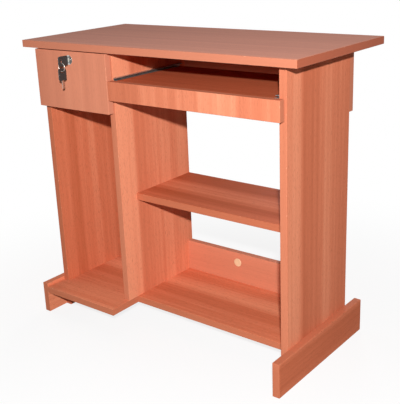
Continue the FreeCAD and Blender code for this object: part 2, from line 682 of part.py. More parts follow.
def slide(label, wall, on_left, under):
    """One slide beside a wall; a slide on a right-hand wall is the mirror image."""
    left = wall if on_left else wall - gap

    def across(u):
        return u if on_left else gap - u

    def channel_bends(middle, box):
        """The two bends beside the wall."""
        return near(middle.x, dim(across(0)).value) and between_rims(middle, box)

    def arm_bend(middle, box):
        """The bend over the moving board."""
        return near(middle.x, dim(across(gap)).value) and near(middle.y, box.YMax)

    fixed_points = [(0, 0), (reach, 0), (reach, steel), (steel, steel), (steel, tall - steel),
                    (reach, tall - steel), (reach, tall), (0, tall)]
    fixed = block(f"{label}_fixed_channel", FACE, (left, size.slide_back, under),
                  [(across(u), v) for u, v in fixed_points], size.slide_length)
    round_edges(fixed, channel_bends, size.bend_round)
    axle = (size.roller_up, size.slide_back - size.front_roller_place)
    post(fixed, "axle", "YZ", across(steel), axle, size.axle_radius,
         size.front_axle_head - steel, not on_left)
    post(fixed, "axle_head", "YZ", across(size.front_axle_head), axle, size.axle_head_radius,
         size.axle_head_thick, not on_left)
    holes = [(size.roller_up, size.slide_back - y) for y in FIXED_SCREWS]
    drill(fixed, "screw_holes", "YZ", across(0), holes, screw_hole, steel, on_left)

    arm_points = [(gap, size.arm_low), (gap, size.arm_high), (size.arm_tip, size.arm_high),
                  (size.arm_tip, size.arm_high - steel), (arm_web, size.arm_high - steel),
                  (arm_web, size.arm_low)]
    arm = block(f"{label}_moving_channel", FACE, (left, size.arm_back, under),
                [(across(u), v) for u, v in arm_points], size.arm_length)
    round_edges(arm, arm_bend, size.bend_round)
    axle = (size.roller_up, size.arm_back - size.rear_roller_place)
    rear_head_end = size.rear_axle_head + size.axle_head_thick
    post(arm, "axle", "YZ", across(arm_web), axle, size.axle_radius, arm_web - rear_head_end, on_left)
    post(arm, "axle_head", "YZ", across(rear_head_end), axle, size.axle_head_radius,
         size.axle_head_thick, on_left)
    holes = [(size.roller_up, size.arm_back - y) for y in MOVING_SCREWS]
    drill(arm, "screw_holes", "YZ", across(arm_web), holes, screw_hole, steel, on_left)

    for end, inset, along in (("front", size.front_roller_inset, size.front_roller_place),
                              ("rear", size.rear_roller_inset, size.rear_roller_place)):
        start = inset if on_left else gap - inset - size.roller_width
        roller = new_body(f"{label}_{end}_roller", SIDE, (left + start, along, under + size.roller_up))
        post(roller, "tread", "XY", 0, (0, 0), size.roller_radius, size.roller_width)
        round_edges(roller, both_rims, size.roller_round)
        drill(roller, "bore", "XY", size.roller_width, [(0, 0)], size.roller_bore, size.roller_width)


slide("drawer_left", -side_inner, True, size.drawer_channel_under)
slide("drawer_right", size.divider_left, False, size.drawer_channel_under)
slide("tray_left", divider_right, True, size.tray_channel_under)
slide("tray_right", side_inner, False, size.tray_channel_under)

small_screw = screw("small_screw", size.screw_radius, size.screw_length, size.screw_head_radius,
                    size.screw_head_thick)
fixed_seats = [(LEFTWARDS, -side_inner + steel, drawer_screw_up),
               (RIGHTWARDS, size.divider_left - steel, drawer_screw_up),
               (LEFTWARDS, divider_right + steel, tray_screw_up),
               (RIGHTWARDS, side_inner - steel, tray_screw_up)]
group("fixed_slide_screws", small_screw,
      [(way, (x, y, z)) for way, x, z in fixed_seats for y in FIXED_SCREWS])
drawer_seats = [(RIGHTWARDS, box_left - steel), (LEFTWARDS, box_right + steel)]
group("drawer_slide_screws", small_screw,
      [(way, (x, y, drawer_screw_up)) for way, x in drawer_seats for y in MOVING_SCREWS])
tray_seats = [(RIGHTWARDS, tray_left - steel), (LEFTWARDS, tray_left + tray_width + steel)]
group("tray_slide_screws", small_screw,
      [(way, (x, y, tray_screw_up)) for way, x in tray_seats for y in MOVING_SCREWS])

# Lock case with the round housing that passes through the drawer front
case_back = front_back + size.case_thick
case_mid = size.case_size / 2
lock_centre = (case_mid, size.case_under_lock)
case = block("lock_case", FACE, (case_left, case_back, case_under),
             rectangle(size.case_size, size.case_size), size.case_thick)
round_edges(case, between_rims, size.case_corner)
round_edges(case, low_rim, size.case_round)
housing_front = size.case_thick + size.housing_reach
post(case, "housing", "XY", size.case_thick, lock_centre, size.housing_radius, size.housing_reach)
drill(case, "bore", "XY", housing_front, [lock_centre], size.plug_bore, housing_front - size.cavity_front)
cavity = sketch_on(case, "cavity", "XZ", -size.case_size)
cavity_width = size.bolt_width + 2 * size.bolt_play
outline(cavity, rectangle(cavity_width, size.cavity_front - size.cavity_back,
                          (case_mid - cavity_width / 2, size.cavity_back)))
pocket(case, cavity, size.cavity_deep, True)
drill(case, "screw_holes", "XY", size.case_thick, case_screws, screw_hole, size.case_thick)

collar = new_body("lock_collar", FACE, (size.lock_across, front_back - thick, size.lock_up))
sketch = sketch_on(collar, "ring", "XY", 0)
circles(sketch, [(0, 0)], size.collar_radius)
circles(sketch, [(0, 0)], size.housing_radius + size.housing_play)
pad(collar, sketch, size.collar_thick)
round_edges(collar, high_rim, size.collar_thick / 3)

# Plug: cam disc and pin behind, keyway in front
plug_mid = 2 * size.cam_radius
plug = new_body("lock_plug", FACE, (size.lock_across - plug_mid, size.cam_place, size.lock_up - plug_mid))
centre = (plug_mid, plug_mid)
post(plug, "cam", "XY", 0, centre, size.cam_radius, size.cam_thick)
post(plug, "shaft", "XY", size.cam_thick, centre, size.plug_radius, size.plug_length)
pin_place = (plug_mid + size.pin_offset, plug_mid - size.pin_offset)
post(plug, "pin", "XY", 0, pin_place, size.pin_radius, size.pin_length, True)
keyway = sketch_on(plug, "keyway", "XY", size.cam_thick + size.plug_length)
outline(keyway, rectangle(size.keyway_width, size.keyway_height,
                          (plug_mid - size.keyway_width / 2, plug_mid - size.keyway_height / 2)))
pocket(plug, keyway, size.keyway_depth)

bolt = block("lock_bolt", FACE, (size.lock_across - size.bolt_width / 2, size.bolt_back, size.bolt_under),
             rectangle(size.bolt_width, size.bolt_height), size.bolt_thick)
slot = sketch_on(bolt, "pin_slot", "XY", size.bolt_thick)
outline(slot, rectangle(size.pin_slot_width, size.pin_slot_height,
                        (size.pin_slot_left, size.pin_slot_under)))
pocket(bolt, slot, size.bolt_thick)

case_screw = screw("case_screw", size.screw_radius, size.case_thick + size.screw_length,
                   size.screw_head_radius, size.screw_head_thick)
group("lock_screws", case_screw,
      [(FORWARDS, (case_left + u, case_back, case_under + v)) for u, v in case_screws])

NOTCHES = 3


def key(prefix, lie, corner_of_head, corner_of_blade):
    """A flat key: a head with an eye for the ring, and a notched blade held in the head."""
    head = block(f"{prefix}_head", lie, corner_of_head,
                 rectangle(size.head_length, size.head_height), size.head_thick)
    round_edges(head, between_rims, size.head_corner)
    round_edges(head, both_rims, size.head_ease)
    eye = sketch_on(head, "eye", "XY", size.head_thick)
    eye_low = (size.head_height - size.eye_height) / 2
    outline(eye, rectangle(size.eye_length, size.eye_height, (size.eye_start, eye_low)))
    pocket(head, eye, size.head_thick)
    tang = sketch_on(head, "tang", "YZ", size.head_length)
    tang_height = size.blade_height + 2 * size.tang_play
    tang_width = size.blade_thick + 2 * size.tang_play
    tang_start = ((size.head_height - tang_height) / 2, (size.head_thick - tang_width) / 2)
    outline(tang, rectangle(tang_height, tang_width, tang_start))
    pocket(head, tang, size.head_length - size.blade_start + 2 * size.tang_play)

    first = size.head_length - size.blade_start + size.notch_start
    points = [(0, 0)]
    for number in range(NOTCHES):
        start = first + number * (size.notch_length + size.notch_gap)
        points.append((start, 0))
        points.append((start + size.notch_length / 2, size.notch_depth))
        points.append((start + size.notch_length, 0))
    shoulder = size.blade_length - size.tip_length
    points += [(shoulder, 0), (size.blade_length, size.blade_height / 2),
               (shoulder, size.blade_height), (0, size.blade_height)]
    block(f"{prefix}_blade", lie, corner_of_blade, points, size.blade_thick)


head_left = size.lock_across - size.head_thick / 2
blade_left = size.lock_across - size.blade_thick / 2
blade_low = (size.head_height - size.blade_height) / 2
head_under = size.lock_up - size.head_height / 2
key("key", SIDE, (head_left, size.key_start, head_under),
    (blade_left, size.key_start + size.blade_start, head_under + blade_low))
spare_front = size.ring_place - size.head_height / 2
key("spare_key", HANG, (head_left, spare_front, size.spare_top),
    (blade_left, spare_front + blade_low, size.spare_top - size.blade_start))

ring = doc.addObject("Part::Torus", "key_ring")
ring.Label = "key_ring"
bind(ring, "Radius1", size.ring_radius)
bind(ring, "Radius2", size.ring_wire)
place(ring, FACE, (size.lock_across, size.ring_place, size.ring_up))
nodes.append(ring)

doc.recompute()

# Every sub-part is checked, then written to its own file
broken = [part.Name for part in doc.Objects if {"Invalid", "Error"} & set(part.State)]
for node in nodes:
    if node.Shape.isNull() or not node.Shape.isValid() or not node.Shape.Solids:
        broken.append(node.Label)
if broken:
    raise RuntimeError("not built: " + ", ".join(broken))
os.makedirs("parts", exist_ok=True)
for node in nodes:
    node.Shape.exportStep(f"parts/{node.Label}.step")
print(len(nodes), "sub-parts written")
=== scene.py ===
# %% [markdown]
# # A study desk in laminated board
# The desk is built of flat boards, 18 mm thick, that are faced with a printed beech laminate and closed by
# glued edge bands. A drawer with a lock hangs on the left, a keyboard tray runs on roller slides beside it,
# and a shelf bay and a computer bay stand on sled feet. Every one of these pieces is an exact solid in the
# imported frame. So the lesson sets up the picture, and then gives each piece the finish that it has on the
# real desk.

# %% Load the frame
import math

import bmesh
import bpy
from mathutils import Matrix, Vector


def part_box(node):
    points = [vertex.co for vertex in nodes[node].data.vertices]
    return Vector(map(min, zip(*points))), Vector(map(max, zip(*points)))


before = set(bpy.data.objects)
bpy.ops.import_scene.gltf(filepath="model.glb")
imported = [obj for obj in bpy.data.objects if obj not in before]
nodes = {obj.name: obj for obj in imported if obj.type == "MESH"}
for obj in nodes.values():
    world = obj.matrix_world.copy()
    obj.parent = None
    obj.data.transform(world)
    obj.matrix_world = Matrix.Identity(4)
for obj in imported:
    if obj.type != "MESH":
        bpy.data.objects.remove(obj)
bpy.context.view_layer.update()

print("pieces in the frame:", len(nodes))

# %% [markdown]
# ## Camera
# The photograph was taken from the right front corner, a little above the work surface. A camera could be
# placed by trial and error. Here its place and its three directions come from fitting the corners of the
# boards to the photograph, so they are written down as numbers. The sensor is 36 mm along the longer side
# of the picture, so the lens is the focal length in pixels times 36 over 404. A small shift keeps the tip
# of the right foot in the picture.

# %% Camera at the photograph's angle
CAMERA_PLACE = Vector((1.19572, -1.46389, 0.98262))
TO_THE_RIGHT = Vector((0.786201, 0.616724, -0.039234))
DOWNWARDS = Vector((0.166065, -0.272, -0.94786))
FORWARDS = Vector((-0.59524, 0.738693, -0.316263))
FOCAL_PIXELS = 768.93
PICTURE_HEIGHT = 404
SENSOR = 36.0
FOOT_SHIFT = -0.02

camera_data = bpy.data.cameras.new("photo_camera")
camera_data.sensor_width = SENSOR
camera_data.lens = FOCAL_PIXELS * SENSOR / PICTURE_HEIGHT
camera_data.shift_y = FOOT_SHIFT
camera = bpy.data.objects.new("photo_camera", camera_data)
turn = Matrix((TO_THE_RIGHT, -DOWNWARDS, -FORWARDS)).transposed()
camera.matrix_world = Matrix.Translation(CAMERA_PLACE) @ turn.to_4x4()
scene = bpy.context.scene
scene.collection.objects.link(camera)
scene.camera = camera
scene.view_settings.view_transform = "Standard"
print("lens in millimetres:", round(camera_data.lens, 2))

# %% [markdown]
# ## Wires
# A finish is a network of shader nodes, and adding every node by hand hides the idea behind it. This class
# wraps one output of a node. Arithmetic on it adds Math nodes, so a mask can be written as `1 - end`. Every
# other node comes from the method `node`, which takes the kind of node, its settings and what goes into
# its sockets. Colours are mixed with Mix nodes, because a Math node would turn them grey.

# %% A wire between shader nodes
def opaque(colour):
    return (*colour, 1.0)


def fill_ramp(ramp, stops):
    """Gives a colour ramp its stops, each a place from 0 to 1 and a colour."""
    while len(ramp.elements) < len(stops):
        ramp.elements.new(1.0)
    for element, (place, colour) in zip(ramp.elements, stops):
        element.position = place
        element.color = opaque(colour)


class Wire:
    """One output of a shader node."""

    def __init__(self, socket):
        self.socket = socket
        self.tree = socket.id_data

    def node(self, kind, settings, sockets, out=0):
        """Adds a node: first its settings, then the values or wires of its sockets."""
        made = self.tree.nodes.new("ShaderNode" + kind)
        for name, value in settings.items():
            if name == "stops":
                fill_ramp(made.color_ramp, value)
            else:
                setattr(made, name, value)
        in_use = [socket for socket in made.inputs if socket.enabled]
        for key, value in sockets.items():
            socket = in_use[key] if isinstance(key, int) else next(s for s in in_use if s.name == key)
            if isinstance(value, Wire):
                self.tree.links.new(value.socket, socket)
            else:
                socket.default_value = value
        wires = [Wire(socket) for socket in made.outputs if socket.enabled]
        return wires if out == "all" else wires[out]

    def math(self, operation, *terms):
        return self.node("Math", {"operation": operation}, dict(enumerate(terms)))

    def __add__(self, other):
        return self.math("ADD", self, other)

    def __sub__(self, other):
        return self.math("SUBTRACT", self, other)

    def __rsub__(self, other):
        return self.math("SUBTRACT", other, self)

    def __mul__(self, other):
        return self.math("MULTIPLY", self, other)

    def __abs__(self):
        return self.math("ABSOLUTE", self)

    __radd__ = __add__
    __rmul__ = __mul__

    def least(self, other):
        return self.math("MINIMUM", self, other)

    def most(self, other):
        return self.math("MAXIMUM", self, other)

    def sine(self):
        return self.math("SINE", self)

    def ease(self, start, end, low=0.0, high=1.0):
        """Runs smoothly from low, where this wire is start, to high, where it is end."""
        settings = {"interpolation_type": "SMOOTHSTEP"}
        sockets = {"Value": self, "From Min": start, "From Max": end, "To Min": low, "To Max": high}
        return self.node("MapRange", settings, sockets)

    def noise(self, scale, detail=2.0, rough=0.5):
        """Soft random values between 0 and 1 at the place that this wire carries."""
        sockets = {"Vector": self, "Scale": scale, "Detail": detail, "Roughness": rough}
        return self.node("TexNoise", {}, sockets)

    def blend(self, colour, factor):
        """This colour turning into another as the factor goes from 0 to 1."""
        sockets = {"Factor": factor, "A": self, "B": opaque(colour)}
        return self.node("Mix", {"data_type": "RGBA"}, sockets)

    def ramp(self, *stops):
        return self.node("ValToRGB", {"stops": stops}, {0: self})

    def vector(self, x, y, z):
        return self.node("CombineXYZ", {}, {"X": x, "Y": y, "Z": z})

    def length(self):
        return self.node("VectorMath", {"operation": "LENGTH"}, {0: self})

    def parts(self):
        """The x, y and z of the vector that this wire carries."""
        return self.node("SeparateXYZ", {}, {0: self}, "all")


print("wires can be added, multiplied, eased, blended and ramped")

# %% [markdown]
# ## Starting a finish
# Each finish begins with a Principled shader and with two things known about each point of the surface:
# where it is on the desk, and which way it faces. They could come from an unwrapped map, but each piece
# would have to be unwrapped first. Here both are read in the piece's own space, in metres. So the pattern
# has its real size, and it travels with a drawer that is pulled out. What is the same all over a surface,
# such as the gloss of plastic, is set on the shader itself. Much of what a finish shows was drawn out along
# one direction, by growing, rolling or rubbing. So there is a noise with its own waves along x, y and z.

# %% A new finish
finished = set()


class Finish:
    """A material, its shader, and the wires for place and direction on the piece."""

    def __init__(self, name, **fixed):
        self.material = bpy.data.materials.new(name)
        self.material.use_nodes = True
        tree = self.material.node_tree
        self.shader = tree.nodes["Principled BSDF"]
        for socket, value in fixed.items():
            self.shader.inputs[socket.replace("_", " ")].default_value = value
        coordinates = tree.nodes.new("ShaderNodeTexCoord")
        self.place = Wire(coordinates.outputs["Object"])
        self.facing = Wire(coordinates.outputs["Normal"])
        self.places = dict(zip("xyz", self.place.parts()))

    def facings(self):
        """How far the surface faces along x, y and z, each from -1 to 1."""
        return dict(zip("xyz", self.facing.parts()))

    def feed(self, socket, wire):
        self.material.node_tree.links.new(wire.socket, self.shader.inputs[socket])

    def relief(self, height, depth, strength):
        """Bump from a height between 0 and 1, in metres of depth."""
        sockets = {"Strength": strength, "Distance": depth, "Height": height}
        self.feed("Normal", height.node("Bump", {}, sockets))

    def drawn_out(self, waves, detail, rough):
        """Noise with its own number of waves per metre along x, y and z."""
        stretched = [self.places[axis] * count for axis, count in zip("xyz", waves)]
        return self.place.vector(*stretched).noise(1.0, detail, rough)

    def put_on(self, *names):
        for name in names:
            slots = nodes[name].data.materials
            slots.clear()
            slots.append(self.material)
            finished.add(name)


# %% [markdown]
# ## The print of the laminate
# The boards are faced with paper that is printed as reddish beech and pressed in resin. It shows broad
# bands, finer streaks and short dark flecks, all drawn out along the grain. Photographs of wood could be
# used, but they repeat and blur. Here noise is stretched along the grain instead: the same noise is read
# slowly along the board and quickly across it. The print of beech is straight, so the lines wander by no
# more than a few millimetres.

# %% Grain
WANDER = 0.014
WANDER_WAVES_ALONG = 1.3
WANDER_WAVES_ACROSS = 2.0
LAYER_ROUGHNESS = 0.55
# Waves per metre across and along the grain, place in the noise, and detail
PRINT_LAYERS = {
    "band": (16.0, 0.30, 3.1, 2.0),
    "streak": (85.0, 0.9, 7.7, 3.0),
    "fine": (620.0, 8.0, 1.9, 2.0),
    "fleck": (1100.0, 90.0, 5.3, 1.0),
}


def wandering(finish, run, breadth, seed):
    """How far the lines of the print leave a straight line, in metres."""
    slow = finish.place.vector(run * WANDER_WAVES_ALONG, breadth * WANDER_WAVES_ACROSS, seed)
    return (slow.noise(1.0, 1.0) - 0.5) * WANDER


def straight_grain(finish, run, breadth, seed):
    """The layers of the print, each from 0 to 1: the run is along the grain, the breadth across it."""
    layers = []
    for across, along, offset, detail in PRINT_LAYERS.values():
        stretched = finish.place.vector(breadth * across, run * along, seed + offset)
        layers.append(stretched.noise(1.0, detail, LAYER_ROUGHNESS))
    return layers


print("layers of the print:", list(PRINT_LAYERS))

# %% [markdown]
# ## Edges of a board
# A machine glues a band of the same print onto the narrow sides of a board, with its grain along the edge.
# The bands could be pieces of their own, but they are as thin as card. So the way that the surface faces
# decides how the print runs: on a narrow side it runs along the edge, and an end takes it crosswise.

# %% The lay of the print
SQUARE_ON = 0.80
TURNED_AWAY = 0.50


def lay_of_print(finish, along, across):
    """Masks of the narrow sides and of the ends, and the run and the breadth of the print."""
    places = finish.places
    facings = finish.facings()
    through = next(axis for axis in "xyz" if axis not in along + across)
    edge = abs(facings[through]).ease(SQUARE_ON, TURNED_AWAY)
    end = abs(facings[along]).ease(TURNED_AWAY, SQUARE_ON)
    run = places[along] + end * (places[across] - places[along])
    breadth = places[through] + places[across] * (1 - end)
    return edge, end, run, breadth


top_low, top_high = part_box("table_top")
print("thickness of the top in millimetres:", round((top_high - top_low).z * 1000, 1))

# %% [markdown]
# ## Worn corners
# The corner between face and band is where a desk wears first: the print rubs off in small spots and shows
# a paler core. The distance to that corner could be painted by hand. A board is a box, so it can be worked
# out: of the three distances to the box's sides, the middle one is small only near a corner line.

# %% Distance to the nearest corner line
RUBBED_FROM = 0.0022
RUBBED_FULLY = 0.0006
RUBBED_SHARE = 0.35
SPOTS_PER_METRE = 140.0


def corner_distance(finish, piece):
    low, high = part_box(piece)
    depths = []
    for axis, near, far in zip("xyz", low, high):
        middle = (near + far) / 2
        depths.append((far - near) / 2 - abs(finish.places[axis] - middle))
    first, second, third = depths
    return first.least(second).most(first.most(second).least(third))


def rubbed_spots(finish, board):
    spots = finish.place.noise(SPOTS_PER_METRE, 3.0, 0.6).ease(0.56, 0.72)
    return corner_distance(finish, board).ease(RUBBED_FROM, RUBBED_FULLY) * spots * RUBBED_SHARE


print("corners are rubbed over a width of", RUBBED_FROM * 1000, "millimetres")

# %% [markdown]
# ## Colours and bands
# The print goes from a deep red to a pale beech, with two warm tones between them. Each board also shows
# bands, some centimetres wide. They could be left to chance, but then no board would look like the one in
# the photograph. So a band is given by the two places between which it lies, and by how much lighter or
# darker the print is there.

# %% Colours and bands of the print
DEEP_BEECH = (0.40, 0.084, 0.033)
RED_BEECH = (0.535, 0.134, 0.060)
WARM_BEECH = (0.655, 0.186, 0.092)
PALE_BEECH = (0.82, 0.300, 0.165)
PRINT = [(0.0, DEEP_BEECH), (0.36, RED_BEECH), (0.64, WARM_BEECH), (1.0, PALE_BEECH)]
PRINT_MIDDLE = 0.49
BAND_CONTRAST = 0.60
STREAK_CONTRAST = 0.45
FINE_CONTRAST = 0.36
SOFT_EDGE = 0.008


def add_bands(tone, line, bands):
    """Bands are (from, to, strength), measured across the grain in metres."""
    for start, stop, strength in bands:
        inside = line.ease(start - SOFT_EDGE, start + SOFT_EDGE)
        inside = inside * line.ease(stop + SOFT_EDGE, stop - SOFT_EDGE)
        tone = tone + inside * strength
    return tone


print("stops in the print's colours:", len(PRINT))

# %% [markdown]
# ## Beech laminate
# One material for all boards would be shorter, but then the print would run on from board to board. So
# a function makes the finish of one board, with its own cut of the print. The narrow sides take the tone of
# the glued band, and a hairline of glue shows dark where the band meets the face. The resin has a satin
# gloss, which smudges and worn spots dull.

# %% The laminate
FLECK = (0.26, 0.062, 0.028)
EDGE_BAND = (0.49, 0.152, 0.080)
# Pale pinkish colour: partly a lighter print, and on the top and the drawer front partly a painted sheen.
PALE_PRINT_AND_SHEEN = (0.70, 0.310, 0.205)
GLUE_LINE = (0.17, 0.055, 0.028)
WORN_EDGE = (0.84, 0.470, 0.310)
FLECK_SHARE = 0.40
EDGE_SHARE = 0.62
GLUE_SHARE = 0.5
SATIN = 0.015
SATIN_ROUGHNESS = 0.46
DULLED_BY_DUST = 4.1
SMUDGES_PER_METRE = 9.0
PORE_DEPTH = 0.0002


def laminate(board, along, across, seed, bands=(), shade=0.0, paler=0.0, dust=0.0, dark_ends=0.0):
    """Laminate on one board, with its grain along one axis and its bands across another.

    Shade makes the print lighter or darker; on the tray it is painted shade, and on the base partly painted
    light. Paler turns it towards a pale pinkish colour, which on the top and the drawer front is partly
    a painted sheen. Dust is the weight of a film that veils the board and dulls its gloss. Dark ends darken
    the bands on the ends.
    """
    finish = Finish("laminate_" + board, IOR=1.45, Specular_IOR_Level=SATIN, Sheen_Weight=dust)
    edge, end, run, breadth = lay_of_print(finish, along, across)
    wander = wandering(finish, run, breadth, seed)
    band, streak, fine, fleck = straight_grain(finish, run, breadth + wander, seed)

    tone = PRINT_MIDDLE + shade + (band - 0.5) * BAND_CONTRAST
    tone = tone + (streak - 0.5) * STREAK_CONTRAST + (fine - 0.5) * FINE_CONTRAST
    tone = add_bands(tone, finish.places[across] + wander, bands)
    colour = tone.ramp(*PRINT).blend(FLECK, fleck.ease(0.60, 0.70) * FLECK_SHARE)
    colour = colour.blend(EDGE_BAND, edge * EDGE_SHARE)
    # The turn towards the pale colour is partly a painted sheen on the top and the drawer front.
    colour = colour.blend(PALE_PRINT_AND_SHEEN, paler)
    colour = colour.blend(DEEP_BEECH, end * dark_ends)
    glue = edge.ease(0.05, 0.45) * edge.ease(0.95, 0.55)
    colour = colour.blend(GLUE_LINE, glue * GLUE_SHARE)
    worn = rubbed_spots(finish, board)
    finish.feed("Base Color", colour.blend(WORN_EDGE, worn))

    smudge = finish.place.noise(SMUDGES_PER_METRE, 3.0, 0.55)
    rough = SATIN_ROUGHNESS + dust * DULLED_BY_DUST
    finish.feed("Roughness", rough + smudge * 0.14 + fine * 0.06 + worn * 0.2)
    finish.relief(fine * 0.6 + streak * 0.4, PORE_DEPTH, 0.35)
    finish.put_on(board)
    print("laminate on", board, "with its grain along", along)


# %% [markdown]
# ## Lying boards
# On the top, the shelf, the base and the tray the grain runs from left to right. The top carries a thin
# film of dust, which shows at a low angle, where it turns the red to a greyish brown. A paler colour would
# do that from above too. The shader's sheen is light that such a film scatters along the surface, so it
# takes the place of the dust. Still, the top's colour is turned part of the way to a pale pinkish one, and
# that is partly a painted sheen. The film also dulls the gloss. Without that, the lamp would mirror as a
# white patch when the top is seen from behind.

# %% Top, shelf, base and tray
DUST_FILM = 0.092
SHELF_BANDS = [(0.055, 0.12, -0.25), (-0.005, 0.040, 0.20), (-0.060, -0.025, -0.25)]
BASE_BANDS = [(-0.005, 0.050, 0.16), (-0.045, -0.010, -0.20), (-0.110, -0.045, -0.10)]
TRAY_BANDS = [(-0.15, -0.11, 0.12)]
# The top's paler colour is partly a painted sheen, the greyish veil that light leaves at a low angle.
laminate("table_top", "x", "y", 2.0, paler=0.30, dust=DUST_FILM, dark_ends=0.8)
laminate("mid_shelf", "x", "y", 14.0, SHELF_BANDS, shade=0.04)
# The base is made lighter: partly painted light, making up for the little lamp light that reaches it.
laminate("base_board", "x", "y", 23.0, BASE_BANDS, shade=0.24)
# The tray is made darker: painted shade, for the shadow that the top casts over it.
laminate("keyboard_tray", "x", "y", 31.0, TRAY_BANDS, shade=-0.26)

# %% [markdown]
# ## Standing boards
# On the two side panels and the divider the grain runs upwards, so their bands are measured from front to
# back. The right panel and the divider are cut from the same print: a light band along the front, a dark
# one behind it, and a lighter one near the middle. The left panel has a dark band near its front and
# a broad lighter one.

# %% Side panels and divider
PANEL_BANDS = [
    (-0.149, -0.092, 0.26), (-0.085, -0.040, -0.20), (-0.040, -0.012, -0.10), (0.004, 0.050, 0.14),
]
LEFT_PANEL_BANDS = [(-0.105, -0.070, -0.15), (-0.030, 0.050, 0.11)]
laminate("right_side_panel", "z", "y", 52.0, PANEL_BANDS, shade=0.10, paler=0.10)
laminate("divider_panel", "z", "y", 63.0, PANEL_BANDS, shade=0.26, paler=0.09)
laminate("left_side_panel", "z", "y", 41.0, LEFT_PANEL_BANDS, shade=0.06)

# %% [markdown]
# ## Drawer front and tray strip
# These two fronts were cut across the length of the board, so that their grain stands upright like the
# panels' grain, and their bands are measured from left to right. They come from a lighter sheet than the
# rest. A lighter print alone would stay red, so the colour is also turned towards a pale pinkish one.
# On the drawer front this turn is partly a painted sheen, the pinkish beige that light leaves on its
# satin face.

# %% Fronts
DRAWER_BANDS = [(-0.375, -0.330, -0.20), (-0.272, -0.206, 0.16), (-0.199, -0.176, -0.12)]
STRIP_BANDS = [
    (-0.125, -0.020, -0.20), (0.070, 0.092, -0.18), (0.155, 0.260, 0.20), (0.300, 0.330, -0.10),
]
# The drawer front's strong turn to the pale colour is partly a painted sheen of the light.
laminate("drawer_front", "z", "x", 71.0, DRAWER_BANDS, shade=0.06, paler=0.48)
laminate("tray_front_strip", "z", "x", 82.0, STRIP_BANDS, shade=0.17, paler=0.16)

# %% [markdown]
# ## Rails and feet
# On the rails at the back, the sled feet and the thinner boards of the drawer's box the grain runs along
# the length. The tones differ, because the boards come from different sheets. The drawer's box is hidden in
# the photograph, so its boards keep the plain print.

# %% Rails, feet and drawer box
FOOT_BANDS = [(0.0, 0.072, -0.15)]
laminate("back_apron", "x", "z", 93.0, paler=0.32)
laminate("lower_back_rail", "x", "z", 104.0, shade=0.06, paler=0.42)
laminate("left_foot", "y", "z", 115.0, shade=0.32)
laminate("right_foot", "y", "z", 126.0, FOOT_BANDS, shade=0.06, paler=0.06)
laminate("drawer_left_side", "y", "z", 131.0)
laminate("drawer_right_side", "y", "z", 142.0)
laminate("drawer_back", "x", "z", 153.0)
print("laminated boards:", len(finished))

# %% [markdown]
# ## Drawer bottom
# The bottom is hardboard, 4 mm of pressed wood fibre. Its upper face is smooth, brown and faintly mottled.
# The lower face keeps the print of the wire screen that it was pressed on. Its many thousand dimples could
# be modelled, but they are too small to change any outline. A product of two sines gives them as a bump,
# and the direction of the surface tells the two faces apart.

# %% Hardboard
HARDBOARD_DARK = (0.135, 0.060, 0.027)
HARDBOARD_LIGHT = (0.235, 0.115, 0.055)
HARDBOARD_ROUGHNESS = 0.42
SCREEN_PITCH = 0.0016
SCREEN_DEPTH = 0.0004
FIBRE_WAVES = (900.0, 500.0, 0.0)
MOTTLES_PER_METRE = 40.0
hardboard = Finish("hardboard", IOR=1.45, Specular_IOR_Level=0.3)
screen_turns = 2 * math.pi / SCREEN_PITCH
screen = (hardboard.places["x"] * screen_turns).sine() * (hardboard.places["y"] * screen_turns).sine()
underneath = hardboard.facings()["z"].ease(-0.5, -0.9)
fibre = hardboard.drawn_out(FIBRE_WAVES, 3.0, 0.6)
mottle = hardboard.place.noise(MOTTLES_PER_METRE, 4.0, 0.6)
brown = (mottle * 0.7 + fibre * 0.3).ramp((0.30, HARDBOARD_DARK), (0.70, HARDBOARD_LIGHT))
hardboard.feed("Base Color", brown)
hardboard.feed("Roughness", HARDBOARD_ROUGHNESS + underneath * 0.35 + fibre * 0.1)
hardboard.relief(fibre * 0.15 + underneath * screen * 0.5 + 0.4, SCREEN_DEPTH, 0.5)
hardboard.put_on("drawer_bottom")
print("wires of the screen per metre:", round(1 / SCREEN_PITCH))

# %% [markdown]
# ## Dowels
# The boards are joined by fluted beech dowels, which only show when the desk is taken apart. They are bare
# wood, so they are pale and dull. The flutes are fine grooves along the dowel. Noise that is drawn out
# along the dowel gives them, so the dowels that lie along x, y and z have a material each.

# %% Bare beech
BARE_BEECH_DARK = (0.42, 0.245, 0.115)
BARE_BEECH_LIGHT = (0.62, 0.400, 0.215)
BARE_BEECH_ROUGHNESS = 0.62
WAVES_ALONG = 60.0
WAVES_ROUND = 1400.0
FLUTE_DEPTH = 0.0004
ALONG_DOWEL = {
    "top_dowels": "z", "divider_dowels": "z",
    "base_dowels": "x", "shelf_dowels": "x", "rail_dowels": "x", "drawer_back_dowels": "x",
    "drawer_front_dowels": "y", "strip_dowels": "y",
}
for along in "xyz":
    dowel = Finish("bare_beech_along_" + along, Specular_IOR_Level=0.3)
    flute_waves = [WAVES_ALONG if axis == along else WAVES_ROUND for axis in "xyz"]
    flute = dowel.drawn_out(flute_waves, 2.0, 0.5)
    dowel.feed("Base Color", flute.ramp((0.30, BARE_BEECH_DARK), (0.65, BARE_BEECH_LIGHT)))
    dowel.feed("Roughness", BARE_BEECH_ROUGHNESS + flute * 0.2)
    dowel.relief(flute, FLUTE_DEPTH, 0.6)
    dowel.put_on(*[name for name, way in ALONG_DOWEL.items() if way == along])
print("groups of dowels:", len(ALONG_DOWEL))

# %% [markdown]
# ## Zinc plated steel
# The slides are rolled from thin strip, the screws are pressed from wire, and both are plated with zinc.
# Zinc is a dull grey with clouded patches. The strip also has fine scratches along the way that it was
# rolled, from front to back. An anisotropic gloss could stand for them from afar. Noise that is drawn out
# shows them from near as well. A metal takes its colour from the reflection, so the patches change both
# the colour and the roughness.

